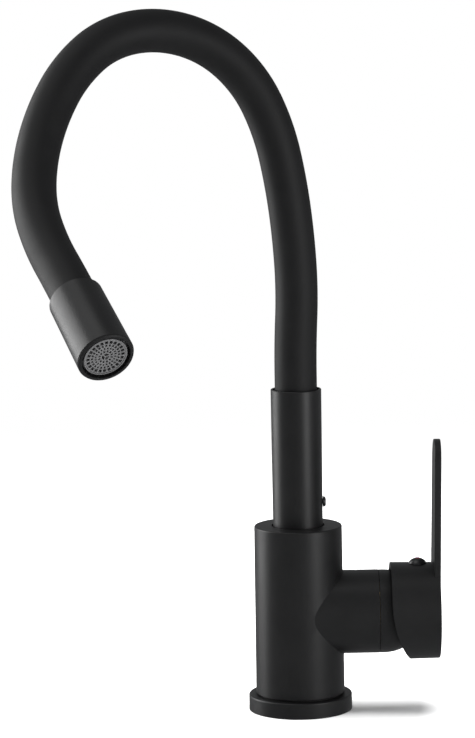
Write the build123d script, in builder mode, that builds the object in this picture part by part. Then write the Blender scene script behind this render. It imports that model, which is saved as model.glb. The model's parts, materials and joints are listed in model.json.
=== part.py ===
from build123d import *

import os
from math import acos, asin, cos, degrees, pi, radians, sin

# Single-lever kitchen mixer with a bendable, silicone-covered spout neck.
# Frame: +Z runs up the body's axis, the origin is the centre of the face that stands
# on the deck, and +X runs along the valve branch towards the lever. Millimetres.

# ---------------------------------------------------------------- driving dimensions

# Base and body
RING_R, RING_H, RING_EDGE = 27.1, 8.3, 0.8
GROOVE_R, GROOVE_BORE, GROOVE_DEPTH = 25.1, 20.9, 1.8
SPIGOT_R = 19.0
BODY_FOOT_R, BODY_TOP_R, BODY_TOP = 23.3, 23.0, 97.8
BODY_TOP_EDGE, BODY_FOOT_EDGE = 0.7, 0.4
BODY_SEAM, SEAL_R = 0.6, 22.2
RECESS_R, RECESS_DEPTH = 13.9, 2.5
SPOUT_BORE_R, SPOUT_BORE_FLOOR = 10.5, 70.0
CLIP_LOW, CLIP_WIDTH, CLIP_GROOVE_R = 87.8, 2.0, 11.5

# Connections under the body
INLET_R, INLET_DEPTH, INLET_X, INLET_Y = 4.5, 18.0, 2.0, 8.0
INLET_WATERWAY, OUTLET_WATERWAY = 3.2, 3.5
STUD_R, STUD_DEPTH, STUD_X = 3.4, 15.0, -13.0

# Valve branch, cartridge and lever: all on one axis along X
VALVE_Z = 51.2
BRANCH_R, BRANCH_END = 21.9, 41.6
CHAMBER_R, CHAMBER_FLOOR = 17.8, 19.0
THREAD_R, THREAD_START = 19.05, 37.05
PIVOT_X = 44.5
DOME_R, DOME_WALL, DOME_END = 21.8, 1.2, 57.5
CASE_R, CASE_WALL_R, CASE_SHOULDER = 17.5, 15.2, 37.0
CASE_NECK_R, CASE_NECK_BORE, CASE_END = 13.5, 11.7, 46.5
CASE_BASE_TOP, CASE_LIP = 23.2, 1.4
PORTS, PORT_R = [(5.5, -3.2), (-5.5, -3.2), (0, 6.2)], 3.0
PORT_SEAL_WIDTH, PORT_SEAL_DEPTH = 1.4, 1.7
DISC_FACE, DISC_T, DISC_GAP = 26.3, 3.0, 0.1
MOVING_DISC_R, CARRIER_T = 9.5, 4.1
ROTOR_FLANGE, ROTOR_FLANGE_T, ROTOR_END, ROTOR_SLOT_HALF = 33.9, 1.5, 48.2, 7.8
STEM_REACH, STEM_NECK_R, STEM_BALL_R = 12.5, 1.9, 2.2
STEM_HALF = 4.0
STEM_END = 68.4
PIN_R = 1.5
NUT_THREAD_LENGTH, NUT_HEX_HALF, NUT_HEX_T = 5.0, 16.6, 3.4

# Lever hub and blade
HUB_RIM, HUB_END = 48.0, 73.4
HUB_RIM_R, HUB_END_R = 25.6, 25.2
HUB_WALL, HUB_FLOOR = 2.4, 69.0
RIM_ARC_TOP, RIM_ARC_R = 9.0, 62.0
BLADE_TOP, BLADE_T, BLADE_LEAN = 142.0, 3.5, 0.95
BLADE_TIP_R, BLADE_ROOT_HALF, BLADE_ROOT_Z = 12.0, 15.5, 62.0
BLADE_EDGE = 0.5
HUB_EDGE = 0.6
BOSS_R, BOSS_GAP_R, BOSS_START = 7.0, 8.0, 57.4
SET_SCREW_R, SET_SCREW_LENGTH, SET_SCREW_KEY = 2.45, 6.0, 1.25
BUTTON_X, BUTTON_R, BUTTON_H, BUTTON_RIM = 62.3, 4.8, 2.5, 0.6
BUTTON_PLUG_R, BUTTON_PLUG_LENGTH, MARK_R = 2.4, 4.0, 1.25

# Spout sleeve and the fitting that turns in the body
SLEEVE_FOOT, SLEEVE_TOP = 96.2, 169.7
SLEEVE_FOOT_R, SLEEVE_TOP_R, SLEEVE_BORE = 13.05, 13.2, 12.2
COLLAR_LOW, COLLAR_HIGH = 98.0, 116.0
SHANK_FOOT, SHANK_WATERWAY, SHANK_NECK_R = 71.0, 3.4, 7.5
SEAL_GROOVES, SEAL_GROOVE_WIDTH, SEAL_GROOVE_R = (74.5, 80.5), 2.6, 8.6
FLANGE_LOW, FLANGE_R = 141.0, 11.0
BARB_LENGTH, BARB_BORE = 12.0, 2.3
SLEEVE_SCREW_Z, SLEEVE_SCREW_R, SLEEVE_SCREW_HEAD_R, SLEEVE_SCREW_HEAD = 110.0, 1.6, 2.8, 1.6
FERRULE_LOW, FERRULE_LENGTH, FERRULE_R, FERRULE_BORE = 142.0, 21.0, 11.85, 11.05

# Bendable neck: equal arcs, each with its bend and the turn of its bending plane, degrees
NECK_START = 150.0
ARC_LENGTH = 28.3
NECK_BENDS = (0, -3, 6, 4, 5, 13, 23, 26, 26, 28, 17, 11, 12, 16, 8.5, -1.5)
NECK_TURNS = (0, 2, 1, 3, 4, 5, 5, 4, 11, 6, 13, 16, 14, 10, 6, 5)
ARCS_PER_SECTION = 2
SKIN_R, SKIN_BORE = 11.0, 8.0
CORE_R, CORE_BORE = 7.8, 5.9
TUBE_R, TUBE_BORE = 5.0, 3.5
BALL_R, SOCKET_R = SKIN_R, SKIN_R + 0.6
HEAD_STUB = 12.0

# Spray head, measured along its own axis from its upper rim
HEAD_LENGTH = 43.5
HEAD_TOP_R, HEAD_END_R = 13.2, 13.7
HEAD_HOSE_BORE, HEAD_WATERWAY, HEAD_THREAD_BORE, HEAD_MOUTH = 11.35, 8.5, 11.15, 11.8
HEAD_WATERWAY_LOW, HEAD_WATERWAY_HIGH, MOUTH_DEPTH = 20.0, 28.7, 2.8
FITTING_T, HEAD_BARB_LENGTH = 7.6, 9.0
AERATOR_THREAD_R, AERATOR_R = 11.05, 10.5
AERATOR_BACK, AERATOR_SHOULDER, AERATOR_FACE = 30.6, 40.2, 42.6
JETS_BACK, SCREEN_BACK = 32.7, 37.7
GRID_R, GRID_T, GRID_SINK = 9.9, 1.4, 0.25
GRID_ROWS = ((8.45, 24, 1.6), (6.6, 24, 1.15), (4.9, 20, 1.0), (3.1, 12, 1.15))
CELL_WALL, GRID_CENTRE_R, GRID_CENTRE_BAR = 0.75, 1.8, 0.6

RUN = 0.1     # clearance of a running fit
SLIP = 0.05   # clearance of a piece that is pushed in and stays
GAP = 0.3     # clearance between faces that never touch

PARTS = "parts"


def write(builder, name):
    """Label a finished piece and write it as its own STEP file."""
    builder.part.label = name
    export_step(builder.part, f"{PARTS}/{name}.step")


def valve_plane(x):
    """The plane across the valve axis at x, its local X along +Y and local Y along +Z."""
    return Plane(origin=(x, 0, VALVE_Z), x_dir=(0, 1, 0), z_dir=(1, 0, 0))


def turned(profile, axis):
    """Points (distance along the axis, radius) joined into the half section of a turned part.

    They are drawn in a sketch on the XZ plane, beside the body's axis or above the valve's.
    """
    if axis is VALVE_AXIS:
        return Polyline(*[(along_x, VALVE_Z + radius) for along_x, radius in profile], close=True)
    return Polyline(*[(radius, height) for height, radius in profile], close=True)


BODY_AXIS = Axis((0, 0, 0), (0, 0, 1))
VALVE_AXIS = Axis((0, 0, VALVE_Z), (1, 0, 0))


# ---------------------------------------------------------------- base and body

def make_base_ring():
    with BuildPart() as ring:
        with BuildSketch():
            Circle(RING_R)
            Circle(SPIGOT_R + GAP, mode=Mode.SUBTRACT)
        extrude(amount=RING_H)
        top = ring.edges().filter_by(GeomType.CIRCLE).group_by(Axis.Z)[-1].sort_by(SortBy.RADIUS)[-1]
        fillet(top, radius=RING_EDGE)
        with BuildSketch():
            Circle(GROOVE_R)
            Circle(GROOVE_BORE, mode=Mode.SUBTRACT)
        extrude(amount=GROOVE_DEPTH, mode=Mode.SUBTRACT)
    write(ring, "base_ring")


def make_seals_of_the_base():
    with BuildPart() as gasket:
        with BuildSketch():
            Circle(GROOVE_R - SLIP)
            Circle(GROOVE_BORE + SLIP, mode=Mode.SUBTRACT)
        extrude(amount=GROOVE_DEPTH - SLIP)
    write(gasket, "base_gasket")
    with BuildPart() as seal:
        with BuildSketch(Plane.XY.offset(RING_H)):
            Circle(SEAL_R)
            Circle(SPIGOT_R + GAP, mode=Mode.SUBTRACT)
        extrude(amount=BODY_SEAM)
    write(seal, "body_seal")


def make_valve_body():
    seam = RING_H + BODY_SEAM
    with BuildPart() as body:
        with BuildSketch(Plane.XZ):
            with BuildLine():
                Polyline((0, 0), (SPIGOT_R, 0), (SPIGOT_R, seam), (BODY_FOOT_R, seam),
                         (BODY_TOP_R, BODY_TOP), (0, BODY_TOP), close=True)
            make_face()
        revolve(axis=Axis.Z)
        rims = body.edges().filter_by(GeomType.CIRCLE).group_by(Axis.Z)
        fillet(rims[-1], radius=BODY_TOP_EDGE)
        fillet(rims[1].sort_by(SortBy.RADIUS)[-1], radius=BODY_FOOT_EDGE)
        with BuildSketch(valve_plane(0)):
            Circle(BRANCH_R)
        extrude(amount=BRANCH_END)
        # Bore and recess that take the spout, and the groove of its retaining ring
        with BuildSketch(Plane.XY.offset(BODY_TOP)):
            Circle(RECESS_R)
        extrude(amount=-RECESS_DEPTH, mode=Mode.SUBTRACT)
        with BuildSketch(Plane.XY.offset(BODY_TOP)):
            Circle(SPOUT_BORE_R)
        extrude(amount=SPOUT_BORE_FLOOR - BODY_TOP, mode=Mode.SUBTRACT)
        with BuildSketch(Plane.XY.offset(CLIP_LOW)):
            Circle(CLIP_GROOVE_R)
        extrude(amount=CLIP_WIDTH, mode=Mode.SUBTRACT)
        # Valve chamber and the thread of its clamping nut
        with BuildSketch(valve_plane(CHAMBER_FLOOR)):
            Circle(CHAMBER_R)
        extrude(amount=BRANCH_END - CHAMBER_FLOOR, mode=Mode.SUBTRACT)
        with BuildSketch(valve_plane(THREAD_START)):
            Circle(THREAD_R)
        extrude(amount=BRANCH_END - THREAD_START, mode=Mode.SUBTRACT)
        # Waterways from the valve seat
        with BuildSketch(valve_plane(0)):
            with Locations(*PORTS):
                Circle(PORT_R)
        extrude(amount=CHAMBER_FLOOR, mode=Mode.SUBTRACT)
        outlet_foot = VALVE_Z + PORTS[2][1] - PORT_R
        with BuildSketch(Plane.XY.offset(outlet_foot)):
            Circle(OUTLET_WATERWAY)
        extrude(amount=SPOUT_BORE_FLOOR - outlet_foot, mode=Mode.SUBTRACT)
        with BuildSketch(Plane.XY):
            with Locations((INLET_X, INLET_Y), (INLET_X, -INLET_Y)):
                Circle(INLET_WATERWAY)
        extrude(amount=VALVE_Z + PORTS[0][1] + 2.0, mode=Mode.SUBTRACT)
        # Threaded connections in the foot
        with BuildSketch(Plane.XY):
            with Locations((INLET_X, INLET_Y), (INLET_X, -INLET_Y)):
                Circle(INLET_R)
        extrude(amount=INLET_DEPTH, mode=Mode.SUBTRACT)
        with BuildSketch(Plane.XY):
            with Locations((STUD_X, 0)):
                Circle(STUD_R)
        extrude(amount=STUD_DEPTH, mode=Mode.SUBTRACT)
    write(body, "valve_body")


# ---------------------------------------------------------------- cartridge

def make_cartridge_case():
    with BuildPart() as case:
        with BuildSketch(Plane.XZ):
            with BuildLine():
                turned([(CHAMBER_FLOOR + 0.2, 0), (CHAMBER_FLOOR + 0.2, CASE_R), (CASE_SHOULDER, CASE_R),
                        (CASE_SHOULDER, CASE_NECK_R), (CASE_END, CASE_NECK_R), (CASE_END, CASE_NECK_BORE),
                        (CASE_SHOULDER - CASE_LIP, CASE_NECK_BORE), (CASE_SHOULDER - CASE_LIP, CASE_WALL_R),
                        (CASE_BASE_TOP, CASE_WALL_R), (CASE_BASE_TOP, 0)], VALVE_AXIS)
            make_face()
        revolve(axis=VALVE_AXIS)
        with BuildSketch(valve_plane(CHAMBER_FLOOR)):
            with Locations(*PORTS):
                Circle(PORT_R)
        extrude(amount=CASE_BASE_TOP - CHAMBER_FLOOR + 1, mode=Mode.SUBTRACT)
        with BuildSketch(valve_plane(CHAMBER_FLOOR)):
            with Locations(*PORTS):
                Circle(PORT_R + PORT_SEAL_WIDTH)
        extrude(amount=PORT_SEAL_DEPTH, mode=Mode.SUBTRACT)
    write(case, "cartridge_case")
    with BuildPart() as seals:
        with BuildSketch(valve_plane(CHAMBER_FLOOR + 0.02)):
            with Locations(*PORTS):
                Circle(PORT_R + PORT_SEAL_WIDTH - RUN)
                Circle(PORT_R, mode=Mode.SUBTRACT)
        extrude(amount=PORT_SEAL_DEPTH - RUN)
    write(seals, "port_seals")


def make_ceramic_discs():
    with BuildPart() as fixed:
        with BuildSketch(valve_plane(DISC_FACE - DISC_T)):
            Circle(CASE_WALL_R - 0.2)
            with Locations(*PORTS):
                Circle(PORT_R - 0.4, mode=Mode.SUBTRACT)
        extrude(amount=DISC_T)
    write(fixed, "fixed_disc")
    with BuildPart() as moving:
        with BuildSketch(valve_plane(DISC_FACE + DISC_GAP)):
            Circle(MOVING_DISC_R)
        extrude(amount=DISC_T)
        # Mixing chamber in the disc's face
        with BuildSketch(valve_plane(DISC_FACE + DISC_GAP)):
            with Locations((0, -1.2)):
                RectangleRounded(9.0, 12.0, 2.5)
        extrude(amount=DISC_T / 2, mode=Mode.SUBTRACT)
    write(moving, "moving_disc")
    with BuildPart() as carrier:
        with BuildSketch(valve_plane(DISC_FACE + DISC_T + 2 * DISC_GAP)):
            Circle(MOVING_DISC_R)
            Rectangle(2 * STEM_BALL_R + 0.6, 2 * STEM_BALL_R + 0.5, mode=Mode.SUBTRACT)
        extrude(amount=CARRIER_T)
    write(carrier, "disc_carrier")


def make_rotor():
    with BuildPart() as rotor:
        with BuildSketch(valve_plane(ROTOR_FLANGE)):
            Circle(CASE_WALL_R - RUN)
        extrude(amount=ROTOR_FLANGE_T)
        with BuildSketch(valve_plane(ROTOR_FLANGE)):
            Circle(CASE_NECK_BORE - RUN)
        extrude(amount=ROTOR_END - ROTOR_FLANGE)
        # Slot in which the stem rocks
        with BuildSketch(valve_plane(ROTOR_FLANGE)):
            Rectangle(2 * STEM_HALF + 0.4, 2 * ROTOR_SLOT_HALF)
        extrude(amount=ROTOR_END - ROTOR_FLANGE, mode=Mode.SUBTRACT)
        with BuildSketch(Plane.XZ):
            with Locations((PIVOT_X, VALVE_Z)):
                Circle(PIN_R + 0.02)
        extrude(amount=CASE_R, both=True, mode=Mode.SUBTRACT)
    write(rotor, "rotor")
    with BuildPart() as pin:
        with BuildSketch(Plane.XZ):
            with Locations((PIVOT_X, VALVE_Z)):
                Circle(PIN_R)
        extrude(amount=CASE_NECK_BORE - 0.8, both=True)
    write(pin, "pivot_pin")


def make_stem():
    """Rocking stem: ball at its inner end, square shank at its outer end."""
    with BuildPart() as stem:
        with BuildSketch(Plane.XZ):
            with Locations((PIVOT_X, VALVE_Z)):
                Circle(STEM_HALF)
        extrude(amount=STEM_HALF, both=True)
        with BuildSketch(valve_plane(PIVOT_X)):
            Rectangle(2 * STEM_HALF, 2 * STEM_HALF)
        extrude(amount=STEM_END - PIVOT_X)
        with BuildSketch(valve_plane(PIVOT_X - STEM_REACH)):
            Circle(STEM_NECK_R)
        extrude(amount=STEM_REACH - 1.0)
        with Locations((PIVOT_X - STEM_REACH, 0, VALVE_Z)):
            Sphere(STEM_BALL_R)
        with BuildSketch(Plane.XZ):
            with Locations((PIVOT_X, VALVE_Z)):
                Circle(PIN_R + 0.05)
        extrude(amount=CASE_R, both=True, mode=Mode.SUBTRACT)
    write(stem, "valve_stem")


def make_nut_and_dome():
    with BuildPart() as nut:
        with BuildSketch(valve_plane(CASE_SHOULDER + RUN)):
            Circle(THREAD_R - SLIP)
        extrude(amount=NUT_THREAD_LENGTH)
        with BuildSketch(valve_plane(CASE_SHOULDER + RUN + NUT_THREAD_LENGTH)):
            RegularPolygon(NUT_HEX_HALF, 6, major_radius=False)
        extrude(amount=NUT_HEX_T)
        with BuildSketch(valve_plane(CASE_SHOULDER + RUN)):
            Circle(CASE_NECK_R + GAP)
        extrude(amount=NUT_THREAD_LENGTH + NUT_HEX_T, mode=Mode.SUBTRACT)
    write(nut, "cartridge_nut")

    start = BRANCH_END + 0.15
    inner = DOME_R - DOME_WALL
    with BuildPart() as dome:
        with BuildSketch(Plane.XZ):
            with BuildLine():
                skirt = Polyline((start, VALVE_Z + inner), (start, VALVE_Z + DOME_R - 0.15),
                                 (start + 0.15, VALVE_Z + DOME_R), (PIVOT_X, VALVE_Z + DOME_R))
                edge = DOME_END - PIVOT_X
                outside = CenterArc((PIVOT_X, VALVE_Z), DOME_R, 90, -arc_angle(edge, DOME_R))
                inside = CenterArc((PIVOT_X, VALVE_Z), inner, 90, -arc_angle(edge, inner))
                Line(outside @ 1, inside @ 1)
                Line(inside @ 0, skirt @ 0)
            make_face()
        revolve(axis=VALVE_AXIS)
    write(dome, "dome_cover")


def arc_angle(run, radius):
    """Angle in degrees from the crest of a circle to the point that is run further along."""
    return degrees(asin(run / radius))


# ---------------------------------------------------------------- lever

def blade_outline():
    """Half-round tip, with straight edges that widen towards the root."""
    tip_z = BLADE_TOP - BLADE_TIP_R
    with BuildLine() as outline:
        Polyline((-BLADE_TIP_R, tip_z - VALVE_Z), (-BLADE_ROOT_HALF, BLADE_ROOT_Z - VALVE_Z),
                 (-BLADE_ROOT_HALF, 0), (BLADE_ROOT_HALF, 0),
                 (BLADE_ROOT_HALF, BLADE_ROOT_Z - VALVE_Z), (BLADE_TIP_R, tip_z - VALVE_Z))
        ThreePointArc((-BLADE_TIP_R, tip_z - VALVE_Z), (0, BLADE_TOP - VALVE_Z),
                      (BLADE_TIP_R, tip_z - VALVE_Z))
    return outline


def make_handle():
    """Hollow hub that skirts the dome, with the blade standing on its end plate."""
    foot = VALVE_Z - HUB_RIM_R - 2
    with BuildPart() as handle:
        with BuildSketch(Plane.XZ):
            with BuildLine():
                turned([(HUB_RIM, 0), (HUB_RIM, HUB_RIM_R), (HUB_END, HUB_END_R), (HUB_END, 0)],
                       VALVE_AXIS)
            make_face()
        revolve(axis=VALVE_AXIS)
        fillet(handle.edges().group_by(Axis.X)[-1], radius=HUB_EDGE)
        # Blade, leaning slightly outwards, its outer face flush with the hub's end
        lean = Plane(origin=(HUB_END, 0, VALVE_Z), x_dir=(0, 1, 0),
                     z_dir=(cos(radians(BLADE_LEAN)), 0, -sin(radians(BLADE_LEAN))))
        with BuildPart(mode=Mode.PRIVATE) as blade:
            with BuildSketch(lean):
                add(blade_outline())
                make_face()
            extrude(amount=-BLADE_T)
            fillet(blade.edges().filter_by(lambda edge: edge.length > BLADE_T + 1),
                   radius=BLADE_EDGE)
        add(blade.part)
        # Cavity round the dome, its end plate and the boss of the stem
        with BuildSketch(valve_plane(HUB_RIM)):
            Circle(HUB_RIM_R - HUB_WALL)
            Circle(BOSS_R, mode=Mode.SUBTRACT)
        extrude(amount=HUB_FLOOR - HUB_RIM, mode=Mode.SUBTRACT)
        with BuildSketch(valve_plane(HUB_RIM)):
            Circle(BOSS_GAP_R)
        extrude(amount=BOSS_START - HUB_RIM, mode=Mode.SUBTRACT)
        with BuildSketch(valve_plane(HUB_RIM)):
            Rectangle(2 * STEM_HALF + 0.1, 2 * STEM_HALF + 0.1)
        extrude(amount=STEM_END + 0.2 - HUB_RIM, mode=Mode.SUBTRACT)
        # Rim: square to the axis above, swept back below so that the hub can rock
        with BuildSketch(Plane.XZ):
            with BuildLine():
                centre = (HUB_RIM + RIM_ARC_R, VALVE_Z + RIM_ARC_TOP)
                drop = VALVE_Z + RIM_ARC_TOP - foot
                sweep_back = CenterArc(centre, RIM_ARC_R, 180, arc_angle(drop, RIM_ARC_R))
                Line(sweep_back @ 1, (HUB_RIM - 2, foot))
                Line((HUB_RIM - 2, foot), (HUB_RIM - 2, VALVE_Z + RIM_ARC_TOP))
                Line((HUB_RIM - 2, VALVE_Z + RIM_ARC_TOP), sweep_back @ 0)
            make_face()
        extrude(amount=HUB_RIM_R + 2, both=True, mode=Mode.SUBTRACT)
        # Screw hole in the boss, its access hole in the wall, and the seat of the button
        with BuildSketch(Plane.XY.offset(VALVE_Z + STEM_HALF)):
            with Locations((BUTTON_X, 0)):
                Circle(SET_SCREW_R + SLIP)
        extrude(amount=HUB_RIM_R, mode=Mode.SUBTRACT)
        with BuildSketch(Plane.XY.offset(VALVE_Z + HUB_END_R - 0.4)):
            with Locations((BUTTON_X, 0)):
                Circle(BUTTON_R + 0.15)
        extrude(amount=3.0, mode=Mode.SUBTRACT)
    write(handle, "handle")


def make_handle_fittings():
    seat = VALVE_Z + HUB_END_R - 0.38
    with BuildPart() as screw:
        with BuildSketch(Plane.XY.offset(VALVE_Z + STEM_HALF + 0.05)):
            with Locations((BUTTON_X, 0)):
                Circle(SET_SCREW_R)
        extrude(amount=SET_SCREW_LENGTH)
        with BuildSketch(Plane.XY.offset(VALVE_Z + STEM_HALF + SET_SCREW_LENGTH / 2)):
            with Locations((BUTTON_X, 0)):
                RegularPolygon(SET_SCREW_KEY, 6)
        extrude(amount=SET_SCREW_LENGTH, mode=Mode.SUBTRACT)
    write(screw, "set_screw")
    shoulder = seat + BUTTON_RIM
    top = shoulder + BUTTON_H
    with BuildPart() as button:
        with BuildSketch(Plane.XZ):
            with BuildLine():
                Line((BUTTON_X, seat), (BUTTON_X + BUTTON_R, seat))
                Line((BUTTON_X + BUTTON_R, seat), (BUTTON_X + BUTTON_R, shoulder))
                ThreePointArc((BUTTON_X + BUTTON_R, shoulder), (BUTTON_X + 3.6, shoulder + 1.5),
                              (BUTTON_X + 1.5, top))
                Line((BUTTON_X + 1.5, top), (BUTTON_X, top))
                Line((BUTTON_X, top), (BUTTON_X, seat))
            make_face()
        revolve(axis=Axis((BUTTON_X, 0, 0), (0, 0, 1)))
        with BuildSketch(Plane.XY.offset(seat)):
            with Locations((BUTTON_X, 0)):
                Circle(BUTTON_PLUG_R)
        extrude(amount=-BUTTON_PLUG_LENGTH)
        with BuildSketch(Plane.XY.offset(top)):
            with Locations((BUTTON_X, 0)):
                Circle(MARK_R + SLIP)
        extrude(amount=-1.0, mode=Mode.SUBTRACT)
    write(button, "indicator_button")
    for name, side in (("hot_mark", -1), ("cold_mark", 1)):
        with BuildPart() as mark:
            with BuildSketch(Plane.XY.offset(top - 0.95)):
                with Locations((BUTTON_X, 0)):
                    Circle(MARK_R)
                with Locations((BUTTON_X, -side * 2.0)):
                    Rectangle(6.0, 4.04, mode=Mode.SUBTRACT)
            extrude(amount=1.15)
        write(mark, name)


# ---------------------------------------------------------------- spout sleeve and its fitting

def make_spout_fitting():
    """Fitting that turns in the body, carries the sleeve and feeds the neck's water tube."""
    plug_r = SPOUT_BORE_R - RUN
    top = NECK_START - 0.2
    grooves = []
    for low, width, radius in ([(low, SEAL_GROOVE_WIDTH, SEAL_GROOVE_R) for low in SEAL_GROOVES]
                               + [(CLIP_LOW, CLIP_WIDTH, 9.4)]):
        grooves += [(low, plug_r), (low, radius), (low + width, radius), (low + width, plug_r)]
    with BuildPart() as shank:
        with BuildSketch(Plane.XZ):
            with BuildLine():
                turned([(SHANK_FOOT, SHANK_WATERWAY), (SHANK_FOOT, plug_r)] + grooves
                       + [(COLLAR_LOW, plug_r), (COLLAR_LOW, SLEEVE_BORE - SLIP),
                          (COLLAR_HIGH, SLEEVE_BORE - SLIP), (COLLAR_HIGH, SHANK_NECK_R),
                          (FLANGE_LOW, SHANK_NECK_R), (FLANGE_LOW, FLANGE_R), (top, FLANGE_R),
                          (top, TUBE_BORE - SLIP), (top + BARB_LENGTH, TUBE_BORE - SLIP),
                          (top + BARB_LENGTH, BARB_BORE), (COLLAR_HIGH, BARB_BORE),
                          (COLLAR_HIGH, SHANK_WATERWAY)], BODY_AXIS)
            make_face()
        revolve(axis=BODY_AXIS)
        with BuildSketch(Plane.YZ):
            with Locations((0, SLEEVE_SCREW_Z)):
                Circle(SLEEVE_SCREW_R + SLIP)
        extrude(amount=SLEEVE_TOP_R, mode=Mode.SUBTRACT)
    write(shank, "spout_shank")
    with BuildPart() as rings:
        for low in SEAL_GROOVES:
            with BuildSketch(Plane.XY.offset(low + RUN)):
                Circle(SPOUT_BORE_R - 0.02)
                Circle(SEAL_GROOVE_R + RUN, mode=Mode.SUBTRACT)
            extrude(amount=SEAL_GROOVE_WIDTH - 2 * RUN)
    write(rings, "shank_seals")
    with BuildPart() as clip:
        with BuildSketch(Plane.XY.offset(CLIP_LOW + 0.2)):
            Circle(CLIP_GROOVE_R - RUN)
            Circle(9.6, mode=Mode.SUBTRACT)
            with Locations((0, 10.5)):
                Rectangle(3.0, 4.0, mode=Mode.SUBTRACT)
        extrude(amount=CLIP_WIDTH - 0.4)
    write(clip, "retaining_ring")
    with BuildPart() as slip:
        with BuildSketch(Plane.XY.offset(BODY_TOP - RECESS_DEPTH)):
            Circle(RECESS_R - SLIP)
            Circle(SPOUT_BORE_R + SLIP, mode=Mode.SUBTRACT)
        extrude(amount=0.8)
    write(slip, "slip_ring")


def make_sleeve():
    with BuildPart() as sleeve:
        with BuildSketch(Plane.XZ):
            with BuildLine():
                turned([(SLEEVE_FOOT, SLEEVE_BORE), (SLEEVE_FOOT, SLEEVE_FOOT_R - 0.2),
                        (SLEEVE_FOOT + 0.2, SLEEVE_FOOT_R), (SLEEVE_TOP - 0.25, SLEEVE_TOP_R),
                        (SLEEVE_TOP, SLEEVE_TOP_R - 0.25), (SLEEVE_TOP, SLEEVE_BORE)], BODY_AXIS)
            make_face()
        revolve(axis=BODY_AXIS)
        with BuildSketch(Plane.YZ):
            with Locations((0, SLEEVE_SCREW_Z)):
                Circle(SLEEVE_SCREW_R + 3 * SLIP)
        extrude(amount=SLEEVE_TOP_R + 2, mode=Mode.SUBTRACT)
    write(sleeve, "spout_sleeve")
    seat = SLEEVE_FOOT_R + 0.15
    with BuildPart() as screw:
        with BuildSketch(Plane.YZ.offset(seat)):
            with Locations((0, SLEEVE_SCREW_Z)):
                Circle(SLEEVE_SCREW_HEAD_R)
        extrude(amount=SLEEVE_SCREW_HEAD)
        crown = screw.edges().group_by(Axis.X)[-1]
        fillet(crown, radius=1.2)
        with BuildSketch(Plane.YZ.offset(seat)):
            with Locations((0, SLEEVE_SCREW_Z)):
                Circle(SLEEVE_SCREW_R)
        extrude(amount=-5.5)
        with BuildSketch(Plane.YZ.offset(seat + SLEEVE_SCREW_HEAD)):
            with Locations((0, SLEEVE_SCREW_Z)):
                RegularPolygon(0.9, 6)
        extrude(amount=-1.4, mode=Mode.SUBTRACT)
    write(screw, "sleeve_screw")
    with BuildPart() as ferrule:
        with BuildSketch(Plane.XY.offset(FERRULE_LOW)):
            Circle(FERRULE_R)
            Circle(FERRULE_BORE, mode=Mode.SUBTRACT)
        extrude(amount=FERRULE_LENGTH)
    write(ferrule, "hose_ferrule")


# ---------------------------------------------------------------- bendable neck

def neck_arcs():
    """Start point, tangent and bending direction of every arc of the neck, and of its end."""
    point, tangent, inward = Vector(0, 0, NECK_START), Vector(0, 0, 1), Vector(-1, 0, 0)
    arcs = []
    for bend, turn in zip(NECK_BENDS, NECK_TURNS):
        side = tangent.cross(inward)
        inward = inward * cos(radians(turn)) + side * sin(radians(turn))
        arcs.append((point, tangent, inward))
        angle = radians(bend)
        if bend:
            radius = ARC_LENGTH / angle
            point = point + tangent * radius * sin(angle) + inward * radius * (1 - cos(angle))
            tangent, inward = (tangent * cos(angle) + inward * sin(angle),
                               inward * cos(angle) - tangent * sin(angle))
        else:
            point = point + tangent * ARC_LENGTH
    arcs.append((point, tangent, inward))
    return arcs


ARCS = neck_arcs()
SECTIONS = len(NECK_BENDS) // ARCS_PER_SECTION
HEAD_POINT, HEAD_AXIS, HEAD_INWARD = ARCS[-1]


def along(place, distance=0.0):
    """Plane across the neck at an arc's start, moved along its tangent."""
    point, tangent, inward = place
    return Plane(origin=point + tangent * distance, x_dir=inward, z_dir=tangent)


def lengthwise(place):
    """Plane through the neck's centre line: local X runs along it and local Y across it."""
    point, tangent, inward = place
    return Plane(origin=point, x_dir=tangent, z_dir=tangent.cross(inward))


def neck_path(first, last):
    """Centre line of the arcs from first up to last, in the current line builder."""
    for (point, tangent, inward), bend, (end, *_) in zip(ARCS[first:last], NECK_BENDS[first:last],
                                                         ARCS[first + 1:last + 1]):
        if bend:
            radius, half = ARC_LENGTH / radians(bend), radians(bend) / 2
            middle = point + tangent * radius * sin(half) + inward * radius * (1 - cos(half))
            ThreePointArc(point, middle, end)
        else:
            Line(point, end)


def dome_profile(outer, inner):
    """Half section of a layer's rounded end: the ball's zone between two radii."""
    reach = [(BALL_R ** 2 - radius ** 2) ** 0.5 for radius in (outer, inner)]
    slant = (acos(outer / BALL_R) + acos(inner / BALL_R)) / 2
    if outer < BALL_R:
        Polyline((0, inner), (0, outer), (reach[0], outer))
    else:
        Line((0, inner), (0, outer))
    ThreePointArc((reach[0], outer), (BALL_R * sin(slant), BALL_R * cos(slant)), (reach[1], inner))
    Line((reach[1], inner), (0, inner))


def neck_tube(section, outer, inner):
    """One rigid length of a neck layer: hollow start round the joint before it, domed end."""
    first = section * ARCS_PER_SECTION
    last = first + ARCS_PER_SECTION
    with BuildPart() as tube:
        with BuildLine():
            neck_path(first, last)
        with BuildSketch(along(ARCS[first])):
            Circle(outer)
            Circle(inner, mode=Mode.SUBTRACT)
        sweep()
        if section > 0:
            with Locations(along(ARCS[first])):
                Sphere(SOCKET_R, mode=Mode.SUBTRACT)
        if section < SECTIONS - 1:
            with BuildSketch(lengthwise(ARCS[last])):
                with BuildLine():
                    dome_profile(outer, inner)
                make_face()
            revolve(axis=Axis(ARCS[last][0], ARCS[last][1]))
        else:
            with BuildSketch(along(ARCS[last])):
                Circle(outer)
                Circle(inner, mode=Mode.SUBTRACT)
            extrude(amount=HEAD_STUB)
    return tube


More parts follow.
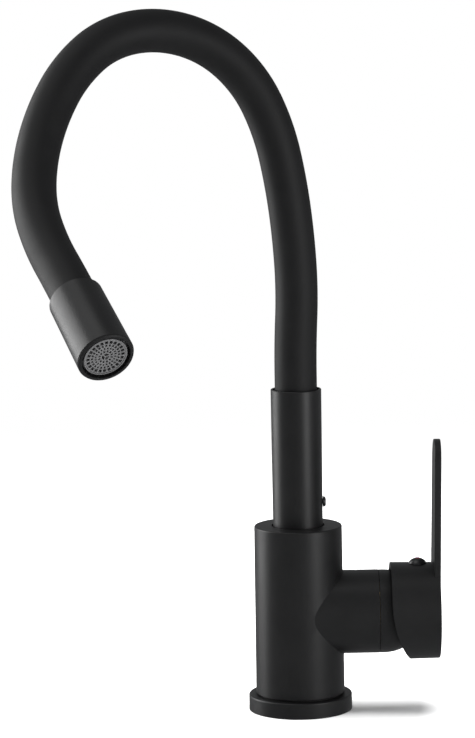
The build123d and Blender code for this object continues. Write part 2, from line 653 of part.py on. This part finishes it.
def make_neck():
    layers = (("neck_skin", SKIN_R, SKIN_BORE), ("neck_core", CORE_R, CORE_BORE),
              ("water_tube", TUBE_R, TUBE_BORE))
    for name, outer, inner in layers:
        for section in range(SECTIONS):
            write(neck_tube(section, outer, inner), f"{name}_{section + 1}")


# ---------------------------------------------------------------- spray head

def head_plane(height):
    """Plane across the spray head, height measured down its axis from the upper rim."""
    return along(ARCS[-1], height)


def head_ring(part_name, low, high, outer, inner):
    """Plain ring or disc on the head's axis."""
    with BuildPart() as ring:
        with BuildSketch(head_plane(low)):
            Circle(outer)
            if inner:
                Circle(inner, mode=Mode.SUBTRACT)
        extrude(amount=high - low)
    write(ring, part_name)


def make_head_shell():
    upper = Plane(origin=HEAD_POINT, x_dir=HEAD_AXIS, z_dir=HEAD_AXIS.cross(HEAD_INWARD))
    with BuildPart() as shell:
        with BuildSketch(upper):
            with BuildLine():
                Polyline((0, HEAD_HOSE_BORE), (0, HEAD_TOP_R - 0.5), (0.5, HEAD_TOP_R),
                         (HEAD_LENGTH - 1.0, HEAD_END_R), (HEAD_LENGTH - 0.3, HEAD_END_R - 0.3),
                         (HEAD_LENGTH, HEAD_END_R - 1.0), (HEAD_LENGTH, HEAD_MOUTH),
                         (HEAD_LENGTH - MOUTH_DEPTH, HEAD_MOUTH),
                         (HEAD_LENGTH - MOUTH_DEPTH, HEAD_THREAD_BORE),
                         (HEAD_WATERWAY_HIGH, HEAD_THREAD_BORE), (HEAD_WATERWAY_HIGH, HEAD_WATERWAY),
                         (HEAD_WATERWAY_LOW, HEAD_WATERWAY), (HEAD_WATERWAY_LOW, HEAD_HOSE_BORE),
                         close=True)
            make_face()
        revolve(axis=Axis(HEAD_POINT, HEAD_AXIS))
    write(shell, "head_shell")


def make_head_fitting():
    with BuildPart() as fitting:
        with BuildSketch(head_plane(HEAD_STUB + 0.2)):
            Circle(HEAD_HOSE_BORE - SLIP)
        extrude(amount=FITTING_T)
        with BuildSketch(head_plane(HEAD_STUB + 0.2)):
            Circle(TUBE_BORE - SLIP)
        extrude(amount=-HEAD_BARB_LENGTH)
        with BuildSketch(head_plane(HEAD_STUB - HEAD_BARB_LENGTH)):
            Circle(BARB_BORE)
        extrude(amount=HEAD_BARB_LENGTH + FITTING_T + 0.4, mode=Mode.SUBTRACT)
    write(fitting, "head_fitting")


def make_aerator():
    grid_back = AERATOR_FACE - GRID_SINK - GRID_T
    with BuildPart() as case:
        with BuildSketch(head_plane(AERATOR_BACK)):
            Circle(AERATOR_R)
        extrude(amount=AERATOR_FACE - AERATOR_BACK)
        with BuildSketch(head_plane(AERATOR_BACK)):
            Circle(AERATOR_THREAD_R)
        extrude(amount=AERATOR_SHOULDER - AERATOR_BACK)
        # Bore, with a lip at the back that the insert rests on
        with BuildSketch(head_plane(AERATOR_BACK + 1.2)):
            Circle(GRID_R + SLIP)
        extrude(amount=AERATOR_FACE - AERATOR_BACK, mode=Mode.SUBTRACT)
        with BuildSketch(head_plane(AERATOR_BACK)):
            Circle(GRID_R - 1.4)
        extrude(amount=AERATOR_FACE - AERATOR_BACK, mode=Mode.SUBTRACT)
    write(case, "aerator_case")

    with BuildPart() as grid:
        with BuildSketch(head_plane(grid_back)):
            Circle(GRID_R)
        extrude(amount=GRID_T)
        with BuildSketch(head_plane(grid_back)):
            Circle(GRID_CENTRE_R)
            with PolarLocations(GRID_CENTRE_R / 2, 3, start_angle=90):
                Rectangle(GRID_CENTRE_R + GRID_CENTRE_BAR, GRID_CENTRE_BAR, mode=Mode.SUBTRACT)
            for radius, count, depth in GRID_ROWS:
                with PolarLocations(radius, count):
                    Rectangle(depth, 2 * pi * radius / count - CELL_WALL)
        extrude(amount=GRID_T, mode=Mode.SUBTRACT)
    write(grid, "aerator_grid")

    with BuildPart() as screen:
        with BuildSketch(head_plane(SCREEN_BACK)):
            Circle(GRID_R - SLIP)
            with GridLocations(1.7, 1.7, 7, 7):
                Rectangle(1.1, 1.1, mode=Mode.SUBTRACT)
        extrude(amount=0.5)
    write(screen, "aerator_screen")

    with BuildPart() as jets:
        with BuildSketch(head_plane(JETS_BACK)):
            Circle(GRID_R - SLIP)
            with PolarLocations(6.8, 16):
                Circle(0.55, mode=Mode.SUBTRACT)
        extrude(amount=2.0)
    write(jets, "aerator_jets")
    head_ring("aerator_washer", HEAD_WATERWAY_HIGH + SLIP, AERATOR_BACK - SLIP, HEAD_THREAD_BORE - RUN,
              HEAD_WATERWAY)
    head_ring("flow_limiter", HEAD_WATERWAY_LOW + 0.5, 24.0, HEAD_WATERWAY - RUN, 2.6)


def main():
    os.makedirs(PARTS, exist_ok=True)
    make_base_ring()
    make_seals_of_the_base()
    make_valve_body()
    make_cartridge_case()
    make_ceramic_discs()
    make_rotor()
    make_stem()
    make_nut_and_dome()
    make_handle()
    make_handle_fittings()
    make_spout_fitting()
    make_sleeve()
    make_neck()
    make_head_shell()
    make_head_fitting()
    make_aerator()


main()
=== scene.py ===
import json
import math

import bpy
from mathutils import Matrix, Vector


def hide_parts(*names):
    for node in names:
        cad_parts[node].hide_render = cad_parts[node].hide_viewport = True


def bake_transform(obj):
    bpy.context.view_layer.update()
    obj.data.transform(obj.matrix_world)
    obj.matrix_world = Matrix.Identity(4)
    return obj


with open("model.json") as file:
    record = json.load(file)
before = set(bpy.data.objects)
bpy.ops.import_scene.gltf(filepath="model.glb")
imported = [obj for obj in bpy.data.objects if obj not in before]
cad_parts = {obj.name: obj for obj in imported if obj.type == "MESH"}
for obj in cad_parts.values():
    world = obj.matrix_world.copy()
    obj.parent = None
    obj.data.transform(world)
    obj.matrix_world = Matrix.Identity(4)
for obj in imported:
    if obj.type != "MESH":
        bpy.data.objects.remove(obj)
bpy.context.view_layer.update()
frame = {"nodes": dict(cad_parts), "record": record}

MM = 0.001


# ------------------------------------------------------------------ materials

def new_material(name):
    """A material with its node tree, its shader and its source of object coordinates."""
    material = bpy.data.materials.new(name)
    material.use_nodes = True
    tree = material.node_tree
    shader = tree.nodes["Principled BSDF"]
    place = tree.nodes.new("ShaderNodeTexCoord")
    return material, tree, shader, place


def noise(tree, place, scale, detail=2.0, rough=0.5, stretch=None):
    """Noise over the object, in features per metre; stretch packs it closer along some axes."""
    node = tree.nodes.new("ShaderNodeTexNoise")
    node.inputs["Scale"].default_value = scale
    node.inputs["Detail"].default_value = detail
    node.inputs["Roughness"].default_value = rough
    if stretch:
        mapping = tree.nodes.new("ShaderNodeMapping")
        mapping.inputs["Scale"].default_value = stretch
        tree.links.new(place.outputs["Object"], mapping.inputs["Vector"])
        tree.links.new(mapping.outputs["Vector"], node.inputs["Vector"])
    else:
        tree.links.new(place.outputs["Object"], node.inputs["Vector"])
    return node


NOISE_LOW, NOISE_HIGH = 0.25, 0.75   # noise seldom goes past these


def spread(tree, source, low, high):
    """A noise output, stretched to run from low to high."""
    node = tree.nodes.new("ShaderNodeMapRange")
    node.inputs["From Min"].default_value = NOISE_LOW
    node.inputs["From Max"].default_value = NOISE_HIGH
    node.inputs["To Min"].default_value = low
    node.inputs["To Max"].default_value = high
    tree.links.new(source, node.inputs["Value"])
    return node.outputs["Result"]


def mix(tree, factor, first, second):
    """The colour between first and second at factor."""
    node = tree.nodes.new("ShaderNodeMix")
    node.data_type = "RGBA"
    node.inputs["A"].default_value = (*first, 1)
    node.inputs["B"].default_value = (*second, 1)
    tree.links.new(factor, node.inputs["Factor"])
    return node.outputs["Result"]


def bump(tree, height, strength, distance, normal=None):
    """The normal of a surface raised by height, on top of another bump's normal if there is one."""
    node = tree.nodes.new("ShaderNodeBump")
    node.inputs["Strength"].default_value = strength
    node.inputs["Distance"].default_value = distance
    tree.links.new(height, node.inputs["Height"])
    if normal:
        tree.links.new(normal, node.inputs["Normal"])
    return node.outputs["Normal"]


DRIFT_SHARE = 0.6   # of a finish's range of roughness; the grain makes the rest


def finish_of(name, colours, roughness, metallic=0.0, specular=0.5, mottle=60.0, grain=1500.0,
              grain_bump=0.15, grain_depth=0.00004, wave=None, stretch=None):
    """Colour and gloss that drift a little over the surface, with a fine grain in relief.

    mottle and grain are in features per metre; wave is a broad relief's scale, strength and depth.
    """
    material, tree, shader, place = new_material(name)
    drift = noise(tree, place, mottle, 3.0)
    fine = noise(tree, place, grain, 2.0, 0.6, stretch)
    colour = mix(tree, spread(tree, drift.outputs["Fac"], 0, 1), *colours)
    tree.links.new(colour, shader.inputs["Base Color"])
    gloss = tree.nodes.new("ShaderNodeMath")
    gloss.operation = "ADD"
    span = roughness[1] - roughness[0]
    drifting = spread(tree, drift.outputs["Fac"], roughness[0], roughness[0] + span * DRIFT_SHARE)
    grainy = spread(tree, fine.outputs["Fac"], 0, span * (1 - DRIFT_SHARE))
    tree.links.new(drifting, gloss.inputs[0])
    tree.links.new(grainy, gloss.inputs[1])
    tree.links.new(gloss.outputs["Value"], shader.inputs["Roughness"])
    normal = bump(tree, fine.outputs["Fac"], grain_bump, grain_depth)
    if wave:
        scale, strength, depth = wave
        broad = noise(tree, place, scale, 1.0)
        normal = bump(tree, broad.outputs["Fac"], strength, depth, normal)
    tree.links.new(normal, shader.inputs["Normal"])
    shader.inputs["Metallic"].default_value = metallic
    shader.inputs["Specular IOR Level"].default_value = specular
    return material


# One finish for each material slot of the record
MATERIALS = {
    "black_metal": finish_of("powder_coat", ((0.0062, 0.0062, 0.0066), (0.0082, 0.0082, 0.0086)),
                             (0.36, 0.46), specular=0.34, grain=1700, grain_bump=0.32,
                             grain_depth=0.00005, wave=(420, 0.12, 0.00008)),
    "black_trim": finish_of("satin_black_plastic", ((0.010, 0.010, 0.011), (0.013, 0.013, 0.014)),
                            (0.26, 0.36), grain=2600, grain_bump=0.12, grain_depth=0.00003),
    "silicone": finish_of("black_silicone", ((0.0062, 0.0062, 0.0067), (0.0085, 0.0085, 0.009)),
                          (0.56, 0.66), specular=0.24, mottle=90, grain=2400, grain_bump=0.3,
                          grain_depth=0.00004, wave=(150, 0.08, 0.0002)),
    "neck_steel": finish_of("steel_strip", ((0.5, 0.5, 0.51), (0.58, 0.58, 0.59)), (0.24, 0.36),
                            metallic=1.0, grain=900, grain_bump=0.1),
    "tube_plastic": finish_of("natural_tube", ((0.68, 0.69, 0.66), (0.76, 0.77, 0.74)),
                              (0.4, 0.5), grain=1200, grain_bump=0.08),
    "seal_rubber": finish_of("seal_rubber", ((0.008, 0.008, 0.008), (0.012, 0.012, 0.012)),
                             (0.55, 0.7), specular=0.3, grain=2200, grain_bump=0.25),
    "brass": finish_of("turned_brass", ((0.62, 0.44, 0.19), (0.74, 0.56, 0.28)), (0.2, 0.34),
                       metallic=1.0, grain=1400, grain_bump=0.12, stretch=(1, 1, 9)),
    "ceramic": finish_of("lapped_ceramic", ((0.8, 0.79, 0.76), (0.87, 0.86, 0.83)),
                         (0.12, 0.2), grain=2600, grain_bump=0.03),
    "cartridge_plastic": finish_of("moulded_acetal", ((0.62, 0.63, 0.62), (0.7, 0.71, 0.7)),
                                   (0.36, 0.48), grain=1500, grain_bump=0.1),
    "screw_steel": finish_of("stainless", ((0.4, 0.4, 0.41), (0.5, 0.5, 0.51)), (0.22, 0.34),
                             metallic=1.0, grain=1600, grain_bump=0.1),
    "aerator_grey": finish_of("grey_aerator", ((0.092, 0.092, 0.094), (0.115, 0.115, 0.117)),
                              (0.34, 0.44), grain=2400, grain_bump=0.1),
    "mark_red": finish_of("red_mark", ((0.5, 0.015, 0.02), (0.6, 0.02, 0.028)), (0.18, 0.28),
                          grain=3000, grain_bump=0.05),
    "mark_blue": finish_of("blue_mark", ((0.02, 0.08, 0.42), (0.03, 0.11, 0.5)), (0.18, 0.28),
                           grain=3000, grain_bump=0.05),
}


def wear(obj, material):
    """Gives an object one material."""
    obj.data.materials.clear()
    obj.data.materials.append(material)


SLOT_OF = {row["node"]: row["material_slot"] for row in frame["record"]["subparts"]}
for node, obj in frame["nodes"].items():
    wear(obj, MATERIALS[SLOT_OF[node]])


# ------------------------------------------------------------------ the neck's silicone sleeve
# The same rule as the CAD neck: equal arcs, each with its bend and the turn of its bending plane,
# in degrees. Two arcs make one rigid length of the CAD, and each joint is where two lengths meet.

NECK_START = 150 * MM
ARC_LENGTH = 28.3 * MM
NECK_BENDS = (0, -3, 6, 4, 5, 13, 23, 26, 26, 28, 17, 11, 12, 16, 8.5, -1.5)
NECK_TURNS = (0, 2, 1, 3, 4, 5, 5, 4, 11, 6, 13, 16, 14, 10, 6, 5)
HEAD_STUB = 12 * MM      # straight end inside the head
SKIN_R, SKIN_INNER = 11 * MM, 9.7 * MM
RINGS_PER_ARC = 14
AROUND = 72


def arc_end(point, tangent, inward, angle, length):
    """End of an arc of this length that turns by angle from tangent towards inward."""
    if not angle:
        return point + tangent * length
    radius = length / angle
    return point + tangent * radius * math.sin(angle) + inward * radius * (1 - math.cos(angle))


def neck_line():
    """Points of the neck's centre line with its tangent and one steady crosswise direction."""
    point, tangent, inward = Vector((0, 0, NECK_START)), Vector((0, 0, 1)), Vector((-1, 0, 0))
    across = inward.copy()
    rows = []
    for bend, turn in zip(NECK_BENDS, NECK_TURNS):
        turn, angle = math.radians(turn), math.radians(bend)
        inward = inward * math.cos(turn) + tangent.cross(inward) * math.sin(turn)
        hinge = tangent.cross(inward)
        steady = (across - tangent * across.dot(tangent)).normalized()
        for step in range(RINGS_PER_ARC):
            share = step / RINGS_PER_ARC
            centre = arc_end(point, tangent, inward, angle * share, ARC_LENGTH * share)
            turned = Matrix.Rotation(angle * share, 3, hinge)
            rows.append((centre, turned @ tangent, turned @ steady))
        point = arc_end(point, tangent, inward, angle, ARC_LENGTH)
        turned = Matrix.Rotation(angle, 3, hinge)
        across, inward, tangent = turned @ steady, turned @ inward, turned @ tangent
    rows.append((point, tangent, across))
    rows.append((point + tangent * HEAD_STUB, tangent, across))
    return rows


def tube_mesh(name, rows):
    """A closed tube wall, with one ring of points outside and one inside at each row.

    Its normals are exact, so that neighbouring pieces shade as one.
    """
    sections = [(*row, SKIN_R, 1) for row in rows]
    sections += [(*row, SKIN_INNER, -1) for row in reversed(rows)]
    points, normals, faces = [], [], []
    for centre, tangent, across, radius, facing in sections:
        other = tangent.cross(across)
        for k in range(AROUND):
            angle = 2 * math.pi * k / AROUND
            outward = across * math.cos(angle) + other * math.sin(angle)
            points.append(centre + outward * radius)
            normals.append(outward * facing)
    count = len(sections)
    for ring in range(count):
        following = (ring + 1) % count
        for k in range(AROUND):
            beside = (k + 1) % AROUND
            faces.append((ring * AROUND + k, ring * AROUND + beside,
                          following * AROUND + beside, following * AROUND + k))
    mesh = bpy.data.meshes.new(name)
    mesh.from_pydata([tuple(p) for p in points], [], faces)
    mesh.update()
    for polygon in mesh.polygons:
        polygon.use_smooth = True
    mesh.normals_split_custom_set_from_vertices(normals)
    obj = bpy.data.objects.new(name, mesh)
    bpy.context.scene.collection.objects.link(obj)
    return obj


# One piece over each joint, from the middle of one rigid length to the middle of the next. The
# first also covers the start of the neck, and the last its end.
LINE = neck_line()
SECTIONS = len(NECK_BENDS) // 2
for k in range(SECTIONS - 1):
    first = 0 if k == 0 else (2 * k + 1) * RINGS_PER_ARC
    last = len(LINE) - 1 if k == SECTIONS - 2 else (2 * k + 3) * RINGS_PER_ARC
    sleeve = tube_mesh(f"silicone_sleeve_{k + 1}", LINE[first:last + 1])
    wear(sleeve, MATERIALS["silicone"])
    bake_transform(sleeve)
    stands_for = [f"neck_skin_{k + 1}"] + ([f"neck_skin_{SECTIONS}"] if k == SECTIONS - 2 else [])
    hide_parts(*stands_for)


# ------------------------------------------------------------------ stage, light and camera

FLOOR_RADII = (0.2, 0.45, 0.7, 1.0)
FLOOR_SIDES = 64
FLOOR_CLEAR, FLOOR_GONE = 0.45, 1.0   # the floor fades out between these distances
WORLD_TINT, WORLD_STRENGTH = (0.97, 0.985, 1, 1), 0.27


def make_floor():
    """Round pale floor under the tap, which fades out into the white of the studio."""
    angles = [2 * math.pi * k / FLOOR_SIDES for k in range(FLOOR_SIDES)]
    points = [(0, 0, 0)]
    points += [(radius * math.cos(angle), radius * math.sin(angle), 0)
               for radius in FLOOR_RADII for angle in angles]
    pairs = [(k, (k + 1) % FLOOR_SIDES) for k in range(FLOOR_SIDES)]
    faces = [(0, 1 + k, 1 + beside) for k, beside in pairs]
    for ring in range(len(FLOOR_RADII) - 1):
        inner, outer = 1 + ring * FLOOR_SIDES, 1 + (ring + 1) * FLOOR_SIDES
        faces += [(inner + k, outer + k, outer + beside, inner + beside) for k, beside in pairs]
    mesh = bpy.data.meshes.new("floor")
    mesh.from_pydata(points, [], faces)
    floor = bpy.data.objects.new("floor", mesh)
    bpy.context.scene.collection.objects.link(floor)
    material = finish_of("pale_floor", ((0.86, 0.86, 0.86), (0.88, 0.88, 0.88)), (0.7, 0.8),
                         specular=0.2, mottle=3, grain=300, grain_bump=0.02)
    tree = material.node_tree
    place = tree.nodes.new("ShaderNodeTexCoord")
    distance = tree.nodes.new("ShaderNodeVectorMath")
    distance.operation = "LENGTH"
    fade = tree.nodes.new("ShaderNodeMapRange")
    fade.interpolation_type = "SMOOTHSTEP"
    fade.inputs["From Min"].default_value = FLOOR_CLEAR
    fade.inputs["From Max"].default_value = FLOOR_GONE
    fade.inputs["To Min"].default_value = 1.0
    fade.inputs["To Max"].default_value = 0.0
    tree.links.new(place.outputs["Object"], distance.inputs[0])
    tree.links.new(distance.outputs["Value"], fade.inputs["Value"])
    tree.links.new(fade.outputs["Result"], tree.nodes["Principled BSDF"].inputs["Alpha"])
    wear(floor, material)
    floor.visible_glossy = False


def soft_light(name, place, target, size, watts):
    """A rectangular area light at place that faces target."""
    data = bpy.data.lights.new(name, "AREA")
    data.shape = "RECTANGLE"
    data.size, data.size_y = size
    data.energy = watts
    light = bpy.data.objects.new(name, data)
    light.location = place
    light.rotation_euler = (Vector(target) - Vector(place)).to_track_quat("-Z", "Y").to_euler()
    bpy.context.scene.collection.objects.link(light)
    return light


def make_world():
    """White behind everything, but a dimmer light on the tap, so that its black stays black."""
    world = bpy.data.worlds.new("studio")
    bpy.context.scene.world = world
    world.use_nodes = True
    tree = world.node_tree
    tree.nodes.clear()
    seen, lit = (tree.nodes.new("ShaderNodeBackground") for _ in range(2))
    seen.inputs["Color"].default_value = (1, 1, 1, 1)
    lit.inputs["Color"].default_value = WORLD_TINT
    lit.inputs["Strength"].default_value = WORLD_STRENGTH
    path = tree.nodes.new("ShaderNodeLightPath")
    blend = tree.nodes.new("ShaderNodeMixShader")
    output = tree.nodes.new("ShaderNodeOutputWorld")
    tree.links.new(path.outputs["Is Camera Ray"], blend.inputs[0])
    tree.links.new(lit.outputs[0], blend.inputs[1])
    tree.links.new(seen.outputs[0], blend.inputs[2])
    tree.links.new(blend.outputs[0], output.inputs[0])


make_floor()
make_world()
MIDDLE = (-0.03, 0, 0.2)
soft_light("left_softbox", (-1.15, 0.42, 0.45), MIDDLE, (0.8, 1.3), 19)
soft_light("top_soft", (-0.45, -0.2, 1.5), MIDDLE, (0.9, 0.9), 4)
soft_light("right_strip", (0.95, -0.9, 0.25), MIDDLE, (0.5, 0.8), 8)

# The last light reaches only the floor, which it keeps white without a glare on the tap
overhead = soft_light("overhead", (0, 0.3, 1.9), (0, 0.1, 0), (1.6, 1.6), 90)
floor_only = bpy.data.collections.new("floor_only")
floor_only.objects.link(bpy.data.objects["floor"])
overhead.light_linking.receiver_collection = floor_only

CAMERA_PLACE = (-0.0282, -1.5861, 0.3908)
CAMERA_TURN, CAMERA_DIP, CAMERA_ROLL = 0.0715, 7.5465, -1.0273   # degrees
CAMERA_LENS = 150.1   # millimetres
CAMERA_NEAR, CAMERA_FAR = 0.05, 100

camera_data = bpy.data.cameras.new("camera")
camera_data.lens = CAMERA_LENS
camera_data.clip_start, camera_data.clip_end = CAMERA_NEAR, CAMERA_FAR
camera = bpy.data.objects.new("camera", camera_data)
camera.matrix_world = (Matrix.Translation(CAMERA_PLACE)
                       @ Matrix.Rotation(math.radians(CAMERA_TURN), 4, "Z")
                       @ Matrix.Rotation(math.radians(90 - CAMERA_DIP), 4, "X")
                       @ Matrix.Rotation(math.radians(CAMERA_ROLL), 4, "Z"))
bpy.context.scene.collection.objects.link(camera)
bpy.context.scene.camera = camera
bpy.context.scene.view_settings.view_transform = "Standard"
